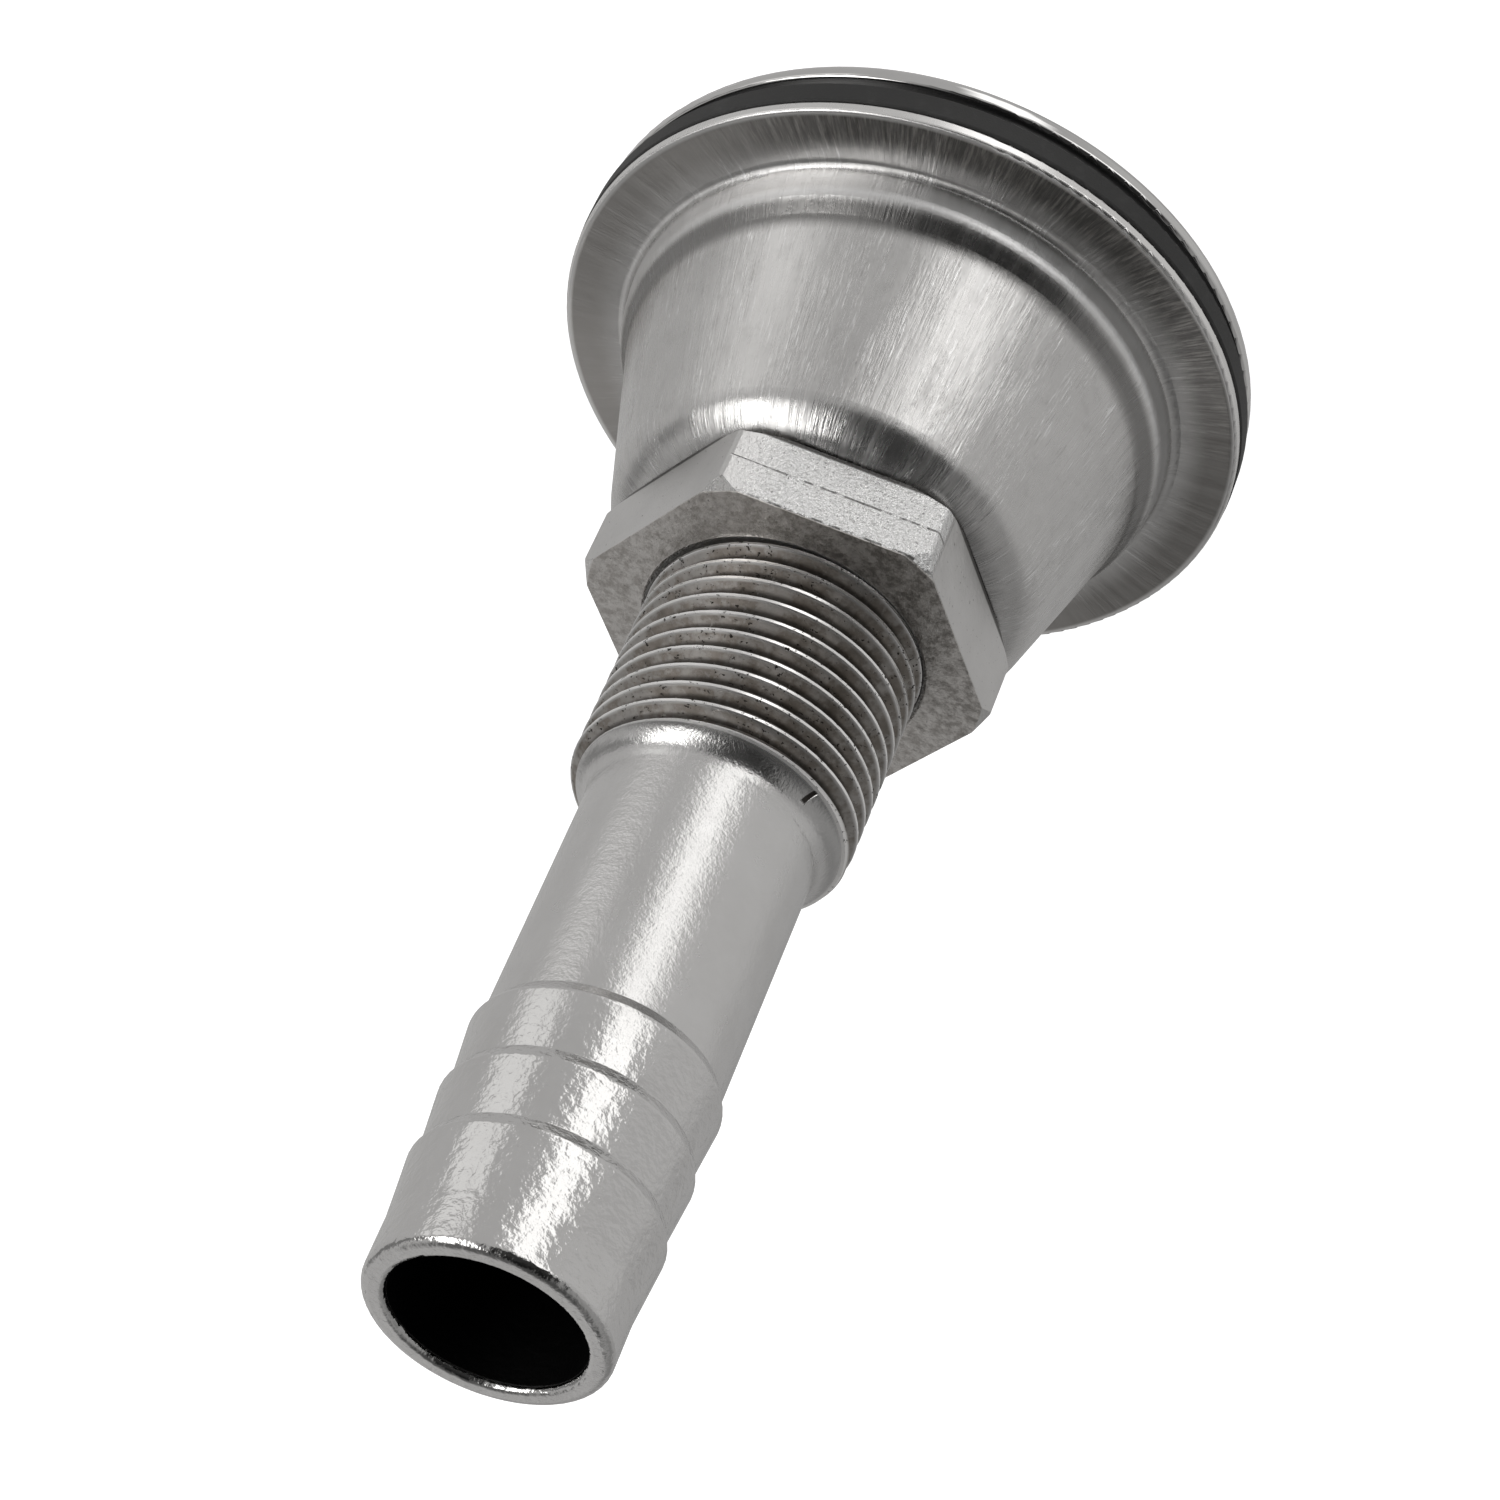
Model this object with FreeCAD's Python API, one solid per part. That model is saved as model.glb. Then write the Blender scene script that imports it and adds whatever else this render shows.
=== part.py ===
import FreeCAD, Part
import math
import os

# Stainless thru hull fitting: flanged barrel with hose tail, gasket, bell washer and hex nut.
#
# Millimetres. The fitting's axis is Z. The origin is the centre of the flange's outer face, which
# lies at z = 0, and the hose tail points up. Every piece is drawn where it sits when the bell
# washer is screwed down onto the gasket.

V = FreeCAD.Vector
ORIGIN = V(0, 0, 0)
Z_AXIS = V(0, 0, 1)

# ---- overall ----
OVERALL_LENGTH = 112.0
BORE_R = 7.9
TAIL_MOUTH_ROUND = 0.5
FLANGE_MOUTH_ROUND = 2.0
BROKEN_EDGE = 0.3           # round left on edges that are only dressed

# ---- flange ----
FLANGE_R = 30.5
FLANGE_THICKNESS = 3.9
FLANGE_FLAT_R = 20.0        # the outer face is flat to here, then slopes to the edge
FLANGE_FLAT_ROUND = 20.0    # soft turn between the flat and the slope
FLANGE_EDGE_DROP = 2.0      # how far the outer face has sloped away at the edge
FLANGE_EDGE_ROUND = 1.4

# ---- thread, M24 x 2 ----
PITCH = 2.0
THREAD_R = 12.0             # crest radius
THREAD_DEPTH = 1.15
ROOT_WIDTH = 0.42           # flat at the bottom of the groove
FLANK_DEG = 30.0            # flank angle, measured from square to the axis
THREAD_CLEARANCE = 0.12     # between the nut's flanks and the barrel's
THREAD_START_DEG = 266.0    # where the helix stands about the axis
CUT_OVERRUN = 0.1           # how far the groove's section stands proud of the blank
SHOULDER_Z = 61.0           # hose end of the threaded barrel
SHOULDER_R = 11.6           # the barrel's end is bevelled down to this radius
SHOULDER_BEVEL = 0.8        # axial length of the bevel
SHOULDER_RISE = 0.5         # how far the end face slopes up towards the tube
RELIEF_TOP_Z = 11.0         # undercut where the thread stops short of the flange
RELIEF_BOTTOM_Z = 7.4
RELIEF_R = 10.6
RELIEF_SLOPE = 0.8          # axial length of the relief's sloping ends

# ---- hose tail ----
TUBE_R = 9.75
SHOULDER_FILLET = 2.3
TIP_R = 9.9
TIP_ROUND = 0.8
TIP_LENGTH = 5.0            # plain land at the tip
TIP_LAND_ROUND = 3.0        # soft turn where the land meets the first barb's slope
BARB_COUNT = 3
BARB_PITCH = 6.5
FIRST_CREST = 10.8          # distance of the first crest from the tip
CREST_R = 10.38
BARB_ROOT_R = 9.87
BARB_BACK = 1.2             # axial length of a barb's back slope
BARB_ROOT_ROUND = 0.15
BARB_CREST_ROUND = 0.6

# ---- gasket ----
GASKET_R = 30.8
GASKET_BORE_R = 12.3
GASKET_THICKNESS = 3.7
GASKET_NECK_R = 29.9        # the gasket is set in above the flange, so that a dark recess shows
GASKET_NECK_HEIGHT = 1.3
GASKET_EDGE_ROUND = 0.25

# ---- bell washer, spun from sheet ----
SHEET = 1.2
WASHER_BORE_R = 12.4
WASHER_TOP_Z = 33.7         # face that the nut bears on
WASHER_CORNER_R = 18.0      # where the end face and the cone would meet
WASHER_CORNER_ROUND = 4.8
WASHER_CONE_FOOT_R = 23.35  # the cone ends here in a shallow step
WASHER_CONE_FOOT_Z = 13.8
WASHER_CONE_FOOT_ROUND = 3.0
WASHER_STEP_R = 24.6        # top of the nearly upright band above the rim
WASHER_STEP_Z = 11.6
WASHER_STEP_ROUND = 2.5
WASHER_BAND_R = 24.95       # foot of the band
WASHER_RIM_FILLET = 0.9
WASHER_RIM_R = 30.7

# ---- hex nut ----
NUT_ACROSS_FLATS = 31.5
NUT_THICKNESS = 7.4
NUT_TURN_DEG = 34.0         # direction of the first flat
NUT_EDGE_ROUND = 0.6
NUT_COUNTERSINK_R = 12.45
NUT_COUNTERSINK_DEPTH = 0.9
NUT_CORNER_CUT_TOP = (0.9, 1.4)       # radial and axial size of the corner chamfer, hose side
NUT_CORNER_CUT_BOTTOM = (1.5, 0.9)    # the same, washer side
NUT_SEAM_DEPTH = 0.06       # mould seam along the middle of one flat
NUT_SEAM_WIDTH = 0.2
NUT_CREST_FLAT = 0.15       # the nut's thread crests stop this far short of the barrel's root


def outline_wire(corners):
    """Closed wire in the XZ plane through (r, z, round) corners, each rounded to its radius."""
    points = [V(r, 0, z) for r, z, _ in corners]
    rounds = [c[2] for c in corners]
    count = len(corners)
    spans = []
    for i in range(count):
        back = (points[i - 1] - points[i]).normalize()
        ahead = (points[(i + 1) % count] - points[i]).normalize()
        if rounds[i] == 0:
            spans.append((points[i], None, points[i]))
            continue
        half = back.getAngle(ahead) / 2
        reach = rounds[i] / math.tan(half)
        bisector = (back + ahead).normalize()
        middle = points[i] + bisector * (rounds[i] / math.sin(half) - rounds[i])
        spans.append((points[i] + back * reach, middle, points[i] + ahead * reach))
    edges = []
    for i, (start, middle, end) in enumerate(spans):
        if middle is not None:
            edges.append(Part.Arc(start, middle, end).toShape())
        following = spans[(i + 1) % count][0]
        edges.append(Part.LineSegment(end, following).toShape())
    return Part.Wire(edges)


def revolved(corners):
    """Solid of revolution about Z with the given cross-section."""
    return Part.Face(outline_wire(corners)).revolve(ORIGIN, Z_AXIS, 360)


def sheet_outline(path, thickness):
    """Cross-section of a sheet of even thickness.

    The path of (r, z, round) corners is one face of the sheet, and the sheet lies to its left.
    """
    points = [V(r, 0, z) for r, z, _ in path]
    sides = []
    for here, after in zip(points, points[1:]):
        along = (after - here).normalize()
        sides.append(V(-along.z, 0, along.x))
    far = []
    for i, point in enumerate(points):
        before = sides[max(i - 1, 0)]
        after = sides[min(i, len(sides) - 1)]
        miter = (before + after).normalize()
        shifted = point + miter * (thickness / miter.dot(after))
        turn = before.cross(after).y
        radius = path[i][2]
        if radius:
            radius += thickness if turn > 0 else -thickness
        far.append((shifted.x, shifted.z, radius))
    return list(path) + far[::-1]


def helical_ridge(inner_r, inner_width, outer_r, outer_width, bottom_z, height):
    """Solid swept along the thread's helix, trapezoidal in section."""
    corners = [
        V(inner_r, 0, -inner_width / 2),
        V(outer_r, 0, -outer_width / 2),
        V(outer_r, 0, outer_width / 2),
        V(inner_r, 0, inner_width / 2),
    ]
    section = Part.makePolygon(corners + corners[:1])
    helix = Part.makeLongHelix(PITCH, height, THREAD_R, 0, False)
    sweep = Part.BRepOffsetAPI.MakePipeShell(Part.Wire(helix.Edges))
    sweep.setFrenetMode(True)
    sweep.add(section)
    sweep.build()
    sweep.makeSolid()
    ridge = sweep.shape()
    ridge.rotate(ORIGIN, Z_AXIS, THREAD_START_DEG)
    ridge.translate(V(0, 0, bottom_z))
    return ridge


def groove_width(radius):
    """Width of the barrel's thread groove at a radius."""
    root_r = THREAD_R - THREAD_DEPTH
    return ROOT_WIDTH + 2 * (radius - root_r) * math.tan(math.radians(FLANK_DEG))


def fitting_body():
    """One casting: flange, threaded barrel and hose tail, with a straight waterway through."""
    top = OVERALL_LENGTH
    corners = [
        (BORE_R, 0, FLANGE_MOUTH_ROUND),
        (FLANGE_FLAT_R, 0, FLANGE_FLAT_ROUND),
        (FLANGE_R, FLANGE_EDGE_DROP, FLANGE_EDGE_ROUND),
        (FLANGE_R, FLANGE_THICKNESS, BROKEN_EDGE),
        (THREAD_R, FLANGE_THICKNESS, BROKEN_EDGE),
        (THREAD_R, RELIEF_BOTTOM_Z, 0),
        (RELIEF_R, RELIEF_BOTTOM_Z + RELIEF_SLOPE, BROKEN_EDGE),
        (RELIEF_R, RELIEF_TOP_Z - RELIEF_SLOPE, BROKEN_EDGE),
        (THREAD_R, RELIEF_TOP_Z, 0),
        (THREAD_R, SHOULDER_Z - SHOULDER_BEVEL, BROKEN_EDGE),
        (SHOULDER_R, SHOULDER_Z, 0),
        (TUBE_R, SHOULDER_Z + SHOULDER_RISE, SHOULDER_FILLET),
    ]
    for index in reversed(range(BARB_COUNT)):
        crest_z = top - FIRST_CREST - index * BARB_PITCH
        root_r = TUBE_R if index == BARB_COUNT - 1 else BARB_ROOT_R
        corners.append((root_r, crest_z - BARB_BACK, BARB_ROOT_ROUND))
        corners.append((CREST_R, crest_z, BARB_CREST_ROUND))
    corners += [
        (TIP_R, top - TIP_LENGTH, TIP_LAND_ROUND),
        (TIP_R, top, TIP_ROUND),
        (BORE_R, top, TAIL_MOUTH_ROUND),
    ]
    blank = revolved(corners)
    root_r = THREAD_R - THREAD_DEPTH
    proud_r = THREAD_R + CUT_OVERRUN
    start_z = (RELIEF_TOP_Z + RELIEF_BOTTOM_Z) / 2
    groove = helical_ridge(root_r, ROOT_WIDTH, proud_r, groove_width(proud_r),
                           start_z, SHOULDER_Z + PITCH - start_z)
    return blank.cut(groove)


def gasket():
    """Rubber ring between the flange and the washer's rim, with a narrower neck at the flange."""
    low = FLANGE_THICKNESS
    high = FLANGE_THICKNESS + GASKET_THICKNESS
    ledge = low + GASKET_NECK_HEIGHT
    return revolved([
        (GASKET_BORE_R, low, 0),
        (GASKET_NECK_R, low, 0),
        (GASKET_NECK_R, ledge, 0),
        (GASKET_R, ledge, GASKET_EDGE_ROUND),
        (GASKET_R, high, GASKET_EDGE_ROUND),
        (GASKET_BORE_R, high, 0),
    ])


def bell_washer():
    """Spun cup: end face under the nut, cone, step, short upright band and flat rim."""
    rim_z = FLANGE_THICKNESS + GASKET_THICKNESS + SHEET
    path = [
        (WASHER_RIM_R, rim_z, 0),
        (WASHER_BAND_R, rim_z, WASHER_RIM_FILLET),
        (WASHER_STEP_R, WASHER_STEP_Z, WASHER_STEP_ROUND),
        (WASHER_CONE_FOOT_R, WASHER_CONE_FOOT_Z, WASHER_CONE_FOOT_ROUND),
        (WASHER_CORNER_R, WASHER_TOP_Z, WASHER_CORNER_ROUND),
        (WASHER_BORE_R, WASHER_TOP_Z, 0),
    ]
    corners = sheet_outline(path, SHEET)
    for i in (0, -1):
        rim_r, edge_z, _ = corners[i]
        corners[i] = (rim_r, edge_z, BROKEN_EDGE)
    return revolved(corners)


def hexagon(across_flats, height):
    """Hexagonal prism standing on z = 0."""
    corner_r = across_flats / math.sqrt(3)
    angles = [math.radians(NUT_TURN_DEG + 30 + 60 * k) for k in range(7)]
    ring = [V(corner_r * math.cos(a), corner_r * math.sin(a), 0) for a in angles]
    return Part.Face(Part.makePolygon(ring)).extrude(V(0, 0, height))


def hex_nut():
    """Thin cast nut: chamfered corners, countersunk hose side and an internal thread in mesh."""
    height = NUT_THICKNESS
    prism = hexagon(NUT_ACROSS_FLATS, height)
    upright = [edge for edge in prism.Edges if edge.BoundBox.ZLength > height / 2]
    prism = prism.makeFillet(NUT_EDGE_ROUND, upright)
    corner_r = NUT_ACROSS_FLATS / math.sqrt(3)
    crest_r = THREAD_R - THREAD_DEPTH + NUT_CREST_FLAT
    (top_in, top_down), (low_in, low_up) = NUT_CORNER_CUT_TOP, NUT_CORNER_CUT_BOTTOM
    sink_r, sink = NUT_COUNTERSINK_R, NUT_COUNTERSINK_DEPTH
    nut = prism.common(revolved([
        (sink_r, 0, 0),
        (corner_r - low_in, 0, 0),
        (corner_r, low_up, 0),
        (corner_r, height - top_down, 0),
        (corner_r - top_in, height, 0),
        (sink_r, height, 0),
        (crest_r, height - sink, 0),
        (crest_r, sink, 0),
    ]))
    half = NUT_ACROSS_FLATS / 2
    seam = Part.makeBox(2 * NUT_SEAM_DEPTH, NUT_ACROSS_FLATS, NUT_SEAM_WIDTH)
    seam.translate(V(half - NUT_SEAM_DEPTH, -half, (height - NUT_SEAM_WIDTH) / 2))
    seam.rotate(ORIGIN, Z_AXIS, NUT_TURN_DEG + 60)
    nut = nut.cut(seam)
    nut.translate(V(0, 0, WASHER_TOP_Z))
    inner_r = THREAD_R - THREAD_DEPTH
    outer_r = THREAD_R + NUT_CREST_FLAT
    ridge_width = [PITCH - groove_width(r) + 2 * THREAD_CLEARANCE for r in (inner_r, outer_r)]
    half_pitch = PITCH / 2
    start_z = (RELIEF_TOP_Z + RELIEF_BOTTOM_Z) / 2 + half_pitch
    turns_below = math.floor((WASHER_TOP_Z - start_z) / PITCH) - 1
    ridge = helical_ridge(inner_r, ridge_width[0], outer_r, ridge_width[1],
                          start_z + turns_below * PITCH, height + 4 * PITCH)
    return nut.cut(ridge)


PIECES = {
    "fitting_body": fitting_body,
    "gasket": gasket,
    "bell_washer": bell_washer,
    "hex_nut": hex_nut,
}

os.makedirs("parts", exist_ok=True)
for name, build in PIECES.items():
    shape = build()
    if not shape.isValid() or len(shape.Solids) != 1:
        raise RuntimeError(f"{name}: {len(shape.Solids)} solids, valid {shape.isValid()}")
    shape.exportStep(f"parts/{name}.step")
    box = shape.BoundBox
    print(f"{name}: {shape.Volume / 1000:.2f} cm3, z {box.ZMin:.2f} to {box.ZMax:.2f}, "
          f"width {box.XLength:.2f}")
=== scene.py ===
import math

import bpy
from mathutils import Matrix, Vector

# Looks of the thru hull fitting: procedural metals and rubber on the CAD pieces, a pale floor, a
# soft studio surround and the camera. Metres; the fitting stands on its flange with Z up.

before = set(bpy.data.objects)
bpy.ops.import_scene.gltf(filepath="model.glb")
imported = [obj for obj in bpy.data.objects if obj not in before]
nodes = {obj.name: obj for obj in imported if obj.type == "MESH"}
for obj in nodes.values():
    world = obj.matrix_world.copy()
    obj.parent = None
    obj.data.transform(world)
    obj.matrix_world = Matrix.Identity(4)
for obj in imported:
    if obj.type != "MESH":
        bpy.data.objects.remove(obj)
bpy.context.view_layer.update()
scene = bpy.context.scene

MM = 0.001

# Landmarks that the materials go by, in mm: heights above the outer face of the flange, and radii.
FLANGE_TOP = 3.9
NECK_TOP = 5.2          # top of the gasket's set-in foot
RIM_TOP = 8.8           # upper face of the washer's rim
RIM_RADIUS = 30.7
THREAD_START = 9.5      # inside the undercut below the thread
THREAD_END = 61.0
THREAD_CREST = 12.0
FIRST_BARB = 84.0
TIP = 112.0
BORE_RADIUS = 7.9
NUT_FOOT = 33.7
NUT_TOP = 41.1
NICK_HEADING = math.radians(51.5)


class Graph:
    """A material's or world's node tree, with short calls for the nodes used here."""

    def __init__(self, tree):
        self.tree = tree
        tree.nodes.clear()

    def add(self, kind, inputs=(), **settings):
        node = self.tree.nodes.new(kind)
        for name, value in settings.items():
            setattr(node, name, value)
        for key, value in dict(inputs).items():
            self.put(node, key, value)
        return node

    def put(self, node, key, value):
        if isinstance(value, bpy.types.NodeSocket):
            self.tree.links.new(value, node.inputs[key])
        else:
            node.inputs[key].default_value = value

    def math(self, operation, a, b=0.0, c=0.0):
        return self.add("ShaderNodeMath", {0: a, 1: b, 2: c}, operation=operation).outputs[0]

    def times(self, value, *others):
        for other in others:
            value = self.math("MULTIPLY", value, other)
        return value

    def plus(self, value, *others):
        for other in others:
            value = self.math("ADD", value, other)
        return value

    def minus(self, a, b):
        return self.math("SUBTRACT", a, b)

    def most(self, a, b):
        return self.math("MAXIMUM", a, b)

    def scaled(self, vector, by):
        node = self.add("ShaderNodeVectorMath", {0: vector, 1: by}, operation="MULTIPLY")
        return node.outputs[0]

    def vector(self, x, y, z):
        return self.add("ShaderNodeCombineXYZ", {0: x, 1: y, 2: z}).outputs[0]

    def step(self, value, start, end, low=0.0, high=1.0):
        """Smooth change from low to high as the value goes from start to end."""
        node = self.add("ShaderNodeMapRange", {0: value, 1: start, 2: end, 3: low, 4: high},
                        interpolation_type="SMOOTHSTEP")
        return node.outputs[0]

    def zone(self, value, start, full, fade, end):
        """Mask that rises from start to full and falls again from fade to end."""
        return self.times(self.step(value, start, full), self.step(value, end, fade))

    def noise(self, vector, scale, detail=2.0, roughness=0.5, distortion=0.0):
        node = self.add("ShaderNodeTexNoise", {
            "Vector": vector, "Scale": scale, "Detail": detail, "Roughness": roughness,
            "Distortion": distortion})
        return node.outputs["Fac"]

    def mix(self, factor, a, b):
        node = self.add("ShaderNodeMix", {0: factor, 6: a, 7: b}, data_type="RGBA")
        return node.outputs[2]

    def blend(self, factor, a, b):
        return self.add("ShaderNodeMix", {0: factor, 2: a, 3: b}).outputs[0]

    def bump(self, height, distance_mm):
        node = self.add("ShaderNodeBump", {
            "Height": height, "Distance": distance_mm * MM, "Strength": 1.0})
        return node.outputs[0]


def grey(value, warmth=0.0):
    """A grey colour, leaning to brown for a positive warmth."""
    return (value * (1 + warmth), value, value * (1 - warmth), 1.0)


class PieceGraph(Graph):
    """Graph of one material, with the piece's own coordinates in millimetres."""

    def __init__(self, name):
        self.material = bpy.data.materials.new(name)
        self.material.use_nodes = True
        super().__init__(self.material.node_tree)
        coordinates = self.add("ShaderNodeTexCoord").outputs
        self.place = self.scaled(coordinates["Object"], (1000.0, 1000.0, 1000.0))
        self.facing_up = self.add("ShaderNodeSeparateXYZ", {0: coordinates["Normal"]}).outputs[2]
        split = self.add("ShaderNodeSeparateXYZ", {0: self.place}).outputs
        self.x, self.y, self.z = split[0], split[1], split[2]
        flat = self.vector(self.x, self.y, 0.0)
        self.radius = self.add("ShaderNodeVectorMath", {0: flat}, operation="LENGTH").outputs[1]
        self.around = self.add("ShaderNodeVectorMath", {0: flat}, operation="NORMALIZE").outputs[0]
        self.shader = self.add("ShaderNodeBsdfPrincipled")
        output = self.add("ShaderNodeOutputMaterial")
        self.tree.links.new(self.shader.outputs[0], output.inputs[0])

    def brushed(self, across, along):
        """Place for streaks that run along the profile: fine round the axis, long the other way."""
        turn = self.scaled(self.around, (across, across, 0.0))
        split = self.add("ShaderNodeSeparateXYZ", {0: turn}).outputs
        profile = self.minus(self.z, self.radius)
        return self.vector(split[0], split[1], self.times(profile, along))

    def brush_direction(self, amount):
        """Spread reflections round the axis, as fine scratches along the profile do."""
        around = self.add("ShaderNodeTangent", direction_type="RADIAL", axis="Z").outputs[0]
        self.put(self.shader, "Tangent", around)
        self.put(self.shader, "Anisotropic", amount)

    def finish(self, **sockets):
        names = {"colour": "Base Color", "metal": "Metallic", "roughness": "Roughness",
                 "normal": "Normal"}
        for key, value in sockets.items():
            self.put(self.shader, names[key], value)
        return self.material


def cast_steel():
    """Investment-cast stainless: satin tail, grimy thread, polished flange edge; painted shade in the
    thread roots and the bore, painted highlights on the crests.
    """
    g = PieceGraph("cast_steel")
    thread = g.zone(g.z, THREAD_START - 0.5, THREAD_START + 0.5, THREAD_END - 0.05, THREAD_END + 0.1)
    tail = g.step(g.z, THREAD_END - 0.2, THREAD_END + 0.6)
    barbs = g.step(g.z, FIRST_BARB, FIRST_BARB + 10.0)
    flange = g.step(g.z, FLANGE_TOP + 1.1, FLANGE_TOP + 0.6)
    bore = g.times(g.step(g.radius, BORE_RADIUS + 0.55, BORE_RADIUS + 0.3),
                   g.step(g.z, TIP - 0.4, TIP - 0.7))

    # Noises, from coarse to fine.
    tint = g.noise(g.place, 0.22, 3.0, 0.6)
    polish = g.noise(g.place, 0.5, 3.0)
    peel = g.noise(g.place, 0.9, 2.0, 0.5)
    wrinkle = g.noise(g.scaled(g.place, (1.0, 1.0, 1.2)), 1.35, 2.0, 0.55, 0.2)
    grain = g.noise(g.place, 4.2, 2.0, 0.6)

    # Dirt on the thread's flanks, painted shade in the black roots, painted highlights on the crests
    # and the collar ring, pits and scuffs.
    depth = g.step(g.radius, THREAD_CREST - 0.03, THREAD_CREST - 0.30)
    streaks = g.noise(g.scaled(g.place, (1.0, 1.0, 0.25)), 0.42, 3.0, 0.6)
    flecks = g.noise(g.scaled(g.place, (1.0, 1.0, 0.7)), 1.5, 4.0, 0.7)
    grime = g.step(g.math("MULTIPLY_ADD", flecks, 0.6, streaks), 0.68, 0.92)
    groove = g.times(depth, thread, g.blend(grime, 0.60, 1.0))
    root_shade = g.times(g.step(g.radius, THREAD_CREST - 0.65, THREAD_CREST - 1.0), thread)
    crest_highlight = g.times(g.step(g.radius, THREAD_CREST - 0.10, THREAD_CREST - 0.02), thread)
    collar_highlight = g.times(
        g.zone(g.z, THREAD_END - 0.4, THREAD_END - 0.2, THREAD_END + 0.06, THREAD_END + 0.12),
        g.step(g.radius, THREAD_CREST - 0.8, THREAD_CREST - 0.65))
    crowd = g.step(g.noise(g.place, 0.33, 2.0, 0.6), 0.42, 0.54)
    pits = g.step(g.noise(g.scaled(g.place, (1.0, 1.0, 1.7)), 2.4, 2.0, 0.7), 0.62, 0.66)
    pits = g.times(pits, thread, crowd)
    scuffs = g.step(g.noise(g.scaled(g.place, (1.0, 1.0, 0.5)), 1.3, 3.0, 0.7), 0.60, 0.72)

    # One short nick in the fillet above the thread.
    across = g.minus(g.times(g.x, math.sin(NICK_HEADING)), g.times(g.y, math.cos(NICK_HEADING)))
    nick = g.times(
        g.step(g.math("ABSOLUTE", across), 0.30, 0.18), g.step(g.x, 0.0, 1.0),
        g.zone(g.radius, THREAD_CREST - 1.9, THREAD_CREST - 1.7,
               THREAD_CREST - 0.8, THREAD_CREST - 0.6),
        g.zone(g.z, THREAD_END - 0.1, THREAD_END, THREAD_END + 1.5, THREAD_END + 2.0))

    steel = g.mix(tint, grey(0.62, 0.012), grey(0.72, 0.006))
    dirt = g.mix(g.noise(g.place, 0.8, 3.0, 0.6), grey(0.12, 0.12), grey(0.42, 0.09))
    colour = g.mix(groove, steel, dirt)
    # Painted shade: the thread roots near black.
    colour = g.mix(g.times(root_shade, 0.7), colour, grey(0.05, 0.1))
    colour = g.mix(g.times(scuffs, thread, 0.40), colour, grey(0.58, 0.03))
    # Painted highlight: the crests and the collar ring near white.
    colour = g.mix(g.most(crest_highlight, collar_highlight), colour, grey(0.95, 0.01))
    colour = g.mix(pits, colour, grey(0.05, 0.1))
    colour = g.mix(nick, colour, grey(0.06, 0.1))
    # Painted shade: the bore near black inside.
    colour = g.mix(bore, colour, grey(0.012))

    rough = g.blend(barbs, g.blend(polish, 0.22, 0.30), g.blend(polish, 0.12, 0.18))
    rough = g.blend(g.times(thread, 0.5), rough, 0.30)
    rough = g.blend(g.most(groove, collar_highlight), rough, 0.48)
    rough = g.blend(flange, rough, 0.07)
    rough = g.blend(bore, rough, 0.6)

    height = g.plus(g.times(peel, g.blend(barbs, 0.25, 0.8)),
                    g.times(wrinkle, g.blend(barbs, 0.42, 0.85)),
                    g.times(grain, g.blend(barbs, 0.34, 0.20)))
    height = g.times(height, g.blend(tail, 0.25, 1.0), g.minus(1.0, flange))
    height = g.minus(height, g.times(g.most(pits, nick), 1.2))
    return g.finish(colour=colour, metal=1.0, roughness=rough, normal=g.bump(height, 0.09))


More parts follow.
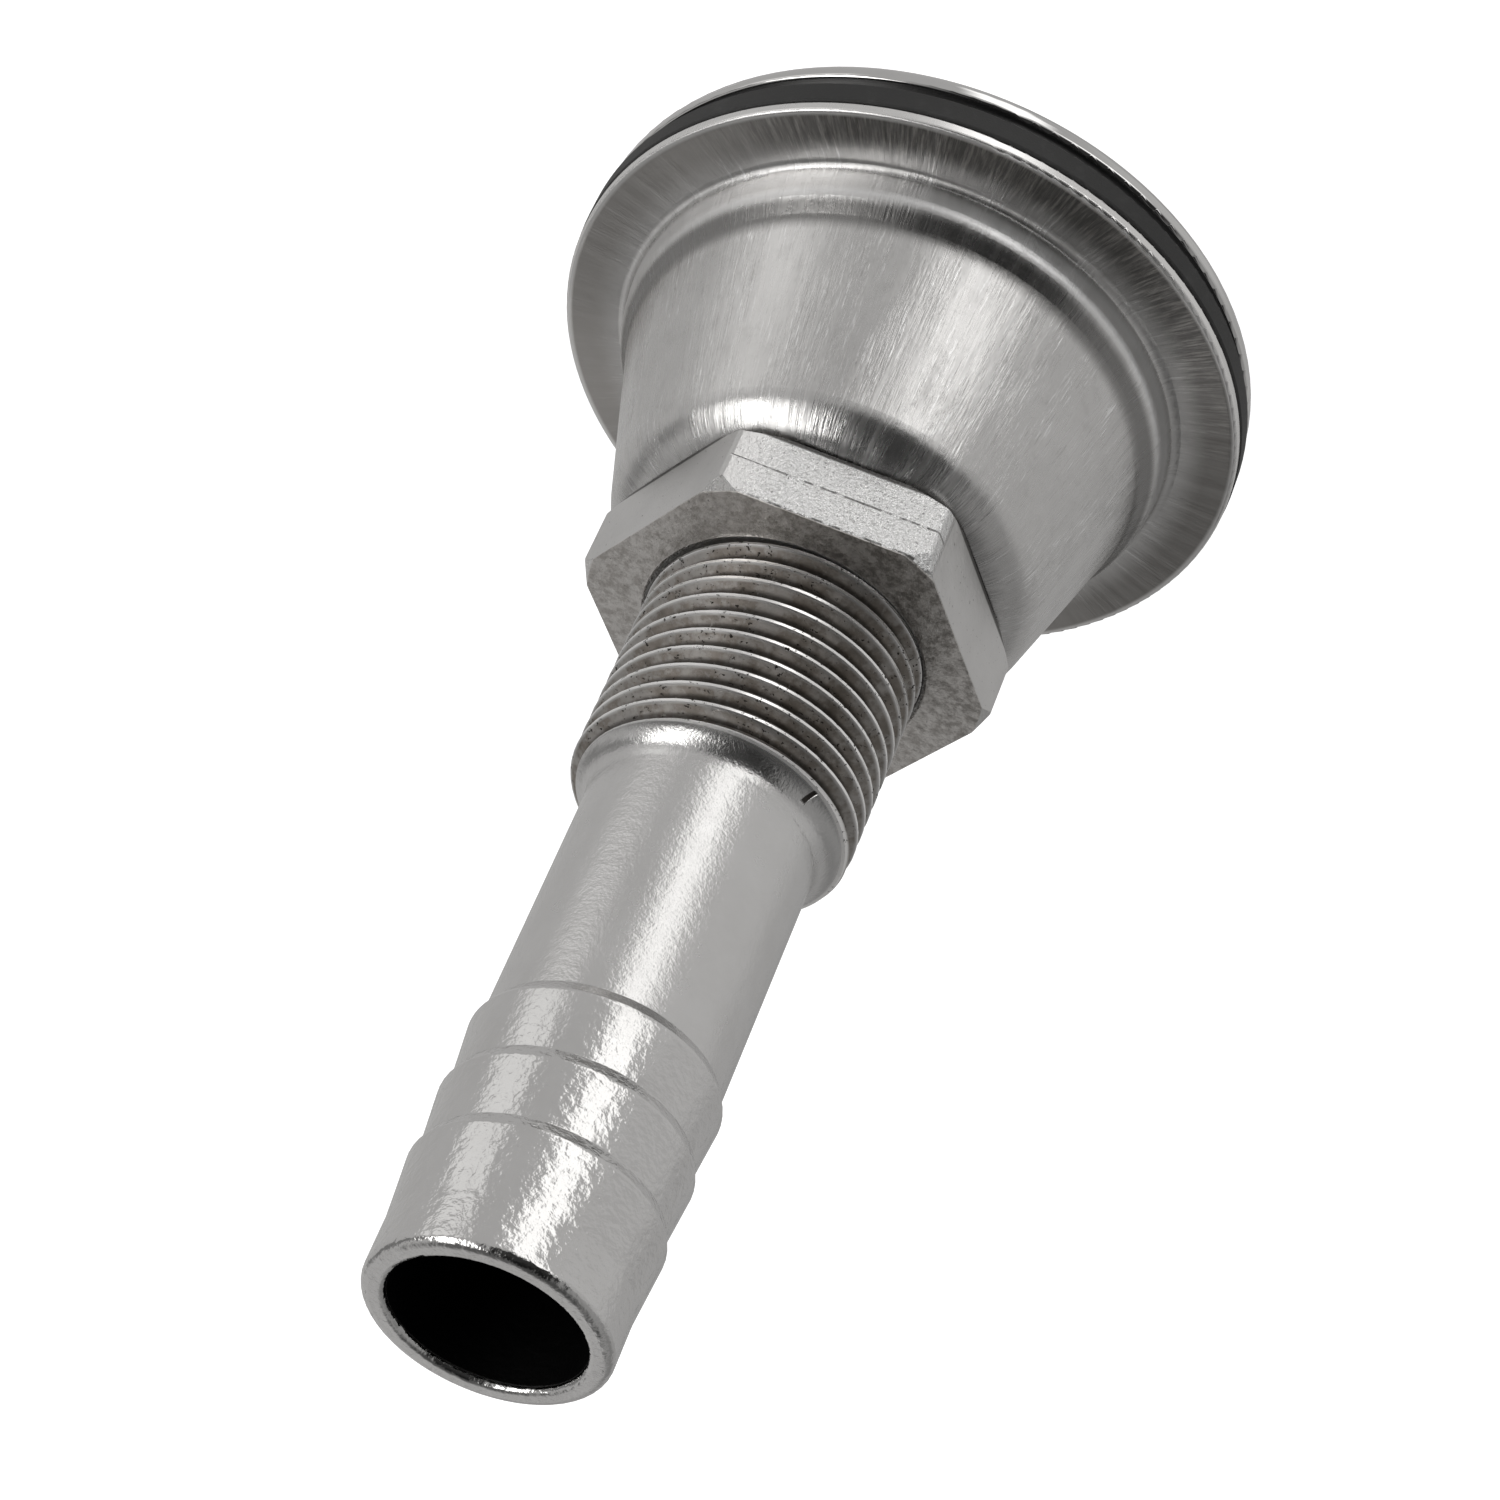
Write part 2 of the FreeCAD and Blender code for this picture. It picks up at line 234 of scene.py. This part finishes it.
def spun_steel():
    """Sheet spun to a cup: brushed along the profile, duller on the rim; painted shade on the rim's
    outer half and the step, a painted highlight on the upright ring above the rim.
    """
    g = PieceGraph("spun_steel")
    top = g.step(g.z, RIM_TOP - 0.1, RIM_TOP - 0.05)
    rim = g.times(g.step(g.radius, 24.9, 25.2), top)
    outer = g.times(g.zone(g.radius, 25.2, 28.4, RIM_RADIUS - 0.3, RIM_RADIUS - 0.15), top)
    edge = g.step(g.radius, RIM_RADIUS - 0.7, RIM_RADIUS - 0.3)
    band_highlight = g.zone(g.z, 9.2, 10.3, 11.3, 12.5)      # nearly upright, just above the rim
    step = g.zone(g.z, 11.9, 12.7, 13.6, 15.0)     # shallow step at the foot of the cone

    # Scratches along the profile, and blotches.
    hairs = g.noise(g.brushed(260.0, 0.5), 1.0, 2.0, 0.6)
    fine = g.noise(g.brushed(110.0, 0.35), 1.0, 3.0, 0.65)
    broad = g.noise(g.brushed(26.0, 0.10), 1.0, 3.0, 0.6)
    patch = g.step(g.noise(g.brushed(7.0, 0.06), 1.0, 2.0), 0.40, 0.62)
    cloud = g.noise(g.place, 0.13, 4.0, 0.6)
    mottle = g.noise(g.place, 0.55, 4.0, 0.65)

    colour = g.mix(cloud, grey(0.54, 0.014), grey(0.72, 0.01))
    colour = g.mix(g.step(mottle, 0.50, 0.75, 0.0, 0.22), colour, grey(0.36, 0.02))
    light = g.times(g.step(fine, 0.56, 0.68), g.blend(patch, 0.1, 1.0))
    colour = g.mix(g.times(light, 0.8), colour, grey(0.92))
    dark = g.times(g.step(fine, 0.42, 0.30), g.blend(patch, 0.2, 0.6))
    colour = g.mix(dark, colour, grey(0.40, 0.02))
    # Painted highlight: the upright ring above the rim near white.
    colour = g.mix(g.times(band_highlight, 0.8), colour, grey(0.98))
    # Painted shade: the step at the foot of the cone darkened.
    colour = g.mix(g.times(step, 0.85), colour, grey(0.22, 0.02))

    # Painted shade: the rim's outer half is darker, most of all on the +X +Y side, with brushed
    # strokes in it.
    strokes = g.blend(g.step(g.y, 2.0, 24.0), 0.5, g.step(fine, 0.40, 0.68))
    rim_shade = g.mix(strokes, grey(0.10, 0.05), grey(0.36, 0.05))
    rim_shade = g.mix(g.step(g.plus(g.x, g.y), -14.0, 16.0), grey(0.42, 0.04), rim_shade)
    colour = g.mix(g.times(outer, g.blend(broad, 0.6, 1.0)), colour, rim_shade)
    colour = g.mix(edge, colour, grey(0.82, 0.01))

    rough = g.plus(g.blend(broad, 0.20, 0.34), g.times(g.most(rim, band_highlight), 0.12))
    height = g.plus(g.times(fine, g.blend(patch, 0.18, 1.1)), g.times(broad, 0.8),
                    g.times(hairs, 0.2), g.times(mottle, 0.7))
    height = g.times(height, g.blend(edge, 1.0, 0.05))
    g.brush_direction(g.blend(rim, 0.3, 0.75))
    return g.finish(colour=colour, metal=1.0, roughness=rough, normal=g.bump(height, 0.045))


def nut_steel():
    """Cast nut: grainy flats with painted glints on the one facing +Y, and a dull stained hose-side
    face with painted shade towards +X +Y.
    """
    g = PieceGraph("nut_steel")
    face = g.step(g.z, NUT_TOP - 0.15, NUT_TOP - 0.05)
    front = g.times(g.step(g.y, 15.0, 15.5), g.minus(1.0, face))
    chamfer = g.zone(g.facing_up, 0.2, 0.3, 0.9, 0.95)

    # Noises, from coarse to fine.
    cloud = g.noise(g.place, 0.25, 3.0)
    broken = g.step(g.noise(g.place, 0.6, 3.0, 0.7), 0.40, 0.52)
    ragged = g.step(g.noise(g.place, 1.1, 4.0, 0.7), 0.42, 0.56)
    stain = g.step(g.noise(g.place, 1.2, 4.0, 0.7), 0.38, 0.68)
    lumps = g.noise(g.place, 1.3, 3.0, 0.55)
    grain = g.noise(g.place, 3.3, 3.0, 0.7)
    specks = g.step(g.noise(g.place, 3.6, 2.0, 0.7), 0.69, 0.72)

    colour = g.mix(cloud, grey(0.58, 0.012), grey(0.70, 0.01))
    # Painted glints: white specks in the grain of the flat facing +Y.
    colour = g.mix(g.times(g.step(grain, 0.24, 0.48), front), colour, grey(1.0))
    dull = g.mix(stain, grey(0.74, 0.03), grey(0.48, 0.05))
    # Painted shade: the face darker towards +X +Y, mottled by the stain.
    face_shade = g.times(g.step(g.x, -10.0, 2.0), g.step(g.y, -8.0, 6.0), g.blend(stain, 0.15, 0.7))
    dull = g.mix(face_shade, dull, grey(0.22, 0.06))
    colour = g.mix(face, colour, dull)
    colour = g.mix(g.times(specks, 0.75), colour, grey(0.10, 0.06))

    # Dark lines: painted shade round the foot, a ragged painted shadow along the upper edge of the
    # front flat, and the broken cast seam on that flat.
    # Painted shade: a dark line round the nut's foot.
    foot = g.step(g.z, NUT_FOOT + 0.50, NUT_FOOT + 0.28)
    # Painted shadow: a ragged dark line along the upper edge of the front flat.
    brim_shadow = g.times(g.step(g.z, NUT_TOP - 0.42, NUT_TOP - 0.25), front, ragged)
    colour = g.mix(g.times(g.most(foot, brim_shadow), 0.9), colour, grey(0.06, 0.06))
    away = g.math("ABSOLUTE", g.minus(g.z, (NUT_FOOT + NUT_TOP) / 2))
    seam = g.times(g.step(away, 0.16, 0.06), front, broken)
    colour = g.mix(g.times(seam, 0.7), colour, grey(0.16, 0.04))

    rough = g.blend(front, g.blend(lumps, 0.26, 0.38), 0.22)
    rough = g.blend(face, rough, 0.44)
    rough = g.blend(chamfer, rough, 0.42)
    height = g.plus(g.times(grain, g.blend(front, g.blend(face, 0.45, 1.1), 2.9)),
                    g.times(lumps, g.blend(face, 0.5, 1.4)), g.times(grain, chamfer, 5.0))
    height = g.minus(height, g.times(specks, 0.6))
    return g.finish(colour=colour, metal=1.0, roughness=rough, normal=g.bump(height, 0.06))


def rubber():
    """Matte black rubber with a fine moulded grain, a trace of dust and painted shade on the set-in
    foot.
    """
    g = PieceGraph("rubber")
    grain = g.noise(g.place, 6.0, 3.0, 0.6)
    dust = g.step(g.noise(g.place, 0.5, 4.0, 0.7), 0.5, 0.8)
    neck = g.step(g.z, NECK_TOP + 0.15, NECK_TOP - 0.05)
    colour = g.mix(dust, grey(0.009, 0.02), grey(0.017, 0.02))
    # Painted shade: the glossier set-in foot darker under the overhang.
    colour = g.mix(neck, colour, grey(0.004))
    rough = g.blend(neck, 0.62, 0.35)
    return g.finish(colour=colour, roughness=rough, normal=g.bump(grain, 0.02))


def dress(node, material):
    mesh = nodes[node].data
    mesh.materials.clear()
    mesh.materials.append(material)


def surround():
    """Soft studio surround: a white tent, darker overhead, with two tall soft boxes.

    Directions are in degrees: turn is the heading, 0 at +Y and positive towards -X, and rise is
    the height over the horizon.
    """
    world = bpy.data.worlds.new("surround")
    world.use_nodes = True
    scene.world = world
    g = Graph(world.node_tree)
    direction = g.add("ShaderNodeTexCoord").outputs["Generated"]
    x, y, z = g.add("ShaderNodeSeparateXYZ", {0: direction}).outputs
    turn = g.math("DEGREES", g.math("ARCTAN2", g.times(x, -1.0), y))
    rise = g.math("DEGREES", g.math("ARCSINE", z))

    def patch(turn_at, half_width, rise_from, rise_to, soft, soft_rise, strength, slant=0.0):
        """Light of even strength round a heading, between two heights, with soft edges."""
        middle = g.math("MULTIPLY_ADD", rise, slant, turn_at)
        away = g.math("ABSOLUTE", g.minus(turn, middle))
        wide = g.step(away, half_width + soft, half_width)
        high = g.zone(rise, rise_from - soft_rise, rise_from, rise_to, rise_to + soft_rise)
        return g.times(wide, high, strength)

    overhead = g.step(rise, 30.0, 70.0, 0.50, 0.12)
    below = patch(0.0, 180.0, -62.0, -46.0, 0.0, 6.0, 0.6)
    level = g.plus(overhead, below)
    for gloom in (    # turn, half width, rise from, rise to, soft, soft rise, strength
        (-10.0, 26.0, 5.0, 90.0, 20.0, 12.0, 0.93),     # high in front
        (-90.0, 60.0, 10.0, 90.0, 20.0, 15.0, 0.35),    # high on the right
        (95.0, 40.0, 8.0, 22.0, 20.0, 8.0, 0.60),       # left, just above the horizon
        (-145.0, 30.0, -90.0, 20.0, 25.0, 10.0, 0.25),  # behind on the right
    ):
        level = g.times(level, g.minus(1.0, patch(*gloom)))
    for lamp in (    # the same, and for one of them its slant
        (60.0, 10.0, 13.0, 58.0, 8.0, 7.0, 3.2),           # tall box, high on the left
        (66.0, 12.0, -34.5, -10.0, 9.0, 2.0, 0.42),        # its reflection off the table
        (-22.0, 9.0, -60.0, -6.0, 10.0, 6.0, 1.05, -0.5),  # box in front, low
        (-90.0, 45.0, -60.0, -28.0, 20.0, 6.0, 0.07),      # pale table on the right
    ):
        level = g.plus(level, patch(*lamp))
    background = g.add("ShaderNodeBackground", {"Color": (1.0, 0.992, 0.98, 1.0), "Strength": level})
    output = g.add("ShaderNodeOutputWorld")
    g.tree.links.new(background.outputs[0], output.inputs[0])


def pale_floor():
    """White floor that the fitting stands on, curving up far away so that low views see no end of
    it. Metals mirror the surround in its place."""
    sides = 48
    profile = [(4.0, 0.0), (4.8, 0.15), (5.4, 0.6), (5.6, 1.3), (5.6, 4.0)]    # m, radius and height
    points, faces = [], [tuple(range(sides))]
    for radius, height in profile:
        for i in range(sides):
            angle = math.tau * i / sides
            points.append((radius * math.cos(angle), radius * math.sin(angle), height - 0.05 * MM))
    for ring in range(len(profile) - 1):
        for i in range(sides):
            a, b = ring * sides + i, ring * sides + (i + 1) % sides
            faces.append((a, b, b + sides, a + sides))
    mesh = bpy.data.meshes.new("floor")
    mesh.from_pydata(points, [], faces)
    floor = bpy.data.objects.new("floor", mesh)
    scene.collection.objects.link(floor)
    material = bpy.data.materials.new("floor")
    material.use_nodes = True
    shader = material.node_tree.nodes["Principled BSDF"]
    shader.inputs["Base Color"].default_value = grey(0.5)
    shader.inputs["Roughness"].default_value = 0.9
    shader.inputs["Emission Color"].default_value = grey(1.0)
    shader.inputs["Emission Strength"].default_value = 0.9
    mesh.materials.append(material)
    floor.visible_glossy = False
    floor.visible_shadow = False


def camera():
    """Looks down on the tail from the fitting's +Y side, rolled so that the tail points down left."""
    eye = Vector((0.95, 271.95, 272.59)) * MM
    aim = Vector((0.95, 0.0, 52.67)) * MM
    roll = math.radians(156.473)
    data = bpy.data.cameras.new("camera")
    data.lens = 103.2
    data.sensor_width = 36.0
    ahead = (aim - eye).normalized()
    level_right = ahead.cross(Vector((0, 0, 1))).normalized()
    level_up = level_right.cross(ahead)
    up = math.cos(roll) * level_up + math.sin(roll) * level_right
    turned = Matrix((ahead.cross(up), up, -ahead)).transposed()
    camera = bpy.data.objects.new("camera", data)
    camera.matrix_world = Matrix.Translation(eye) @ turned.to_4x4()
    scene.collection.objects.link(camera)
    scene.camera = camera


dress("fitting_body", cast_steel())
dress("bell_washer", spun_steel())
dress("hex_nut", nut_steel())
dress("gasket", rubber())
surround()
pale_floor()
camera()
scene.view_settings.view_transform = "Standard"
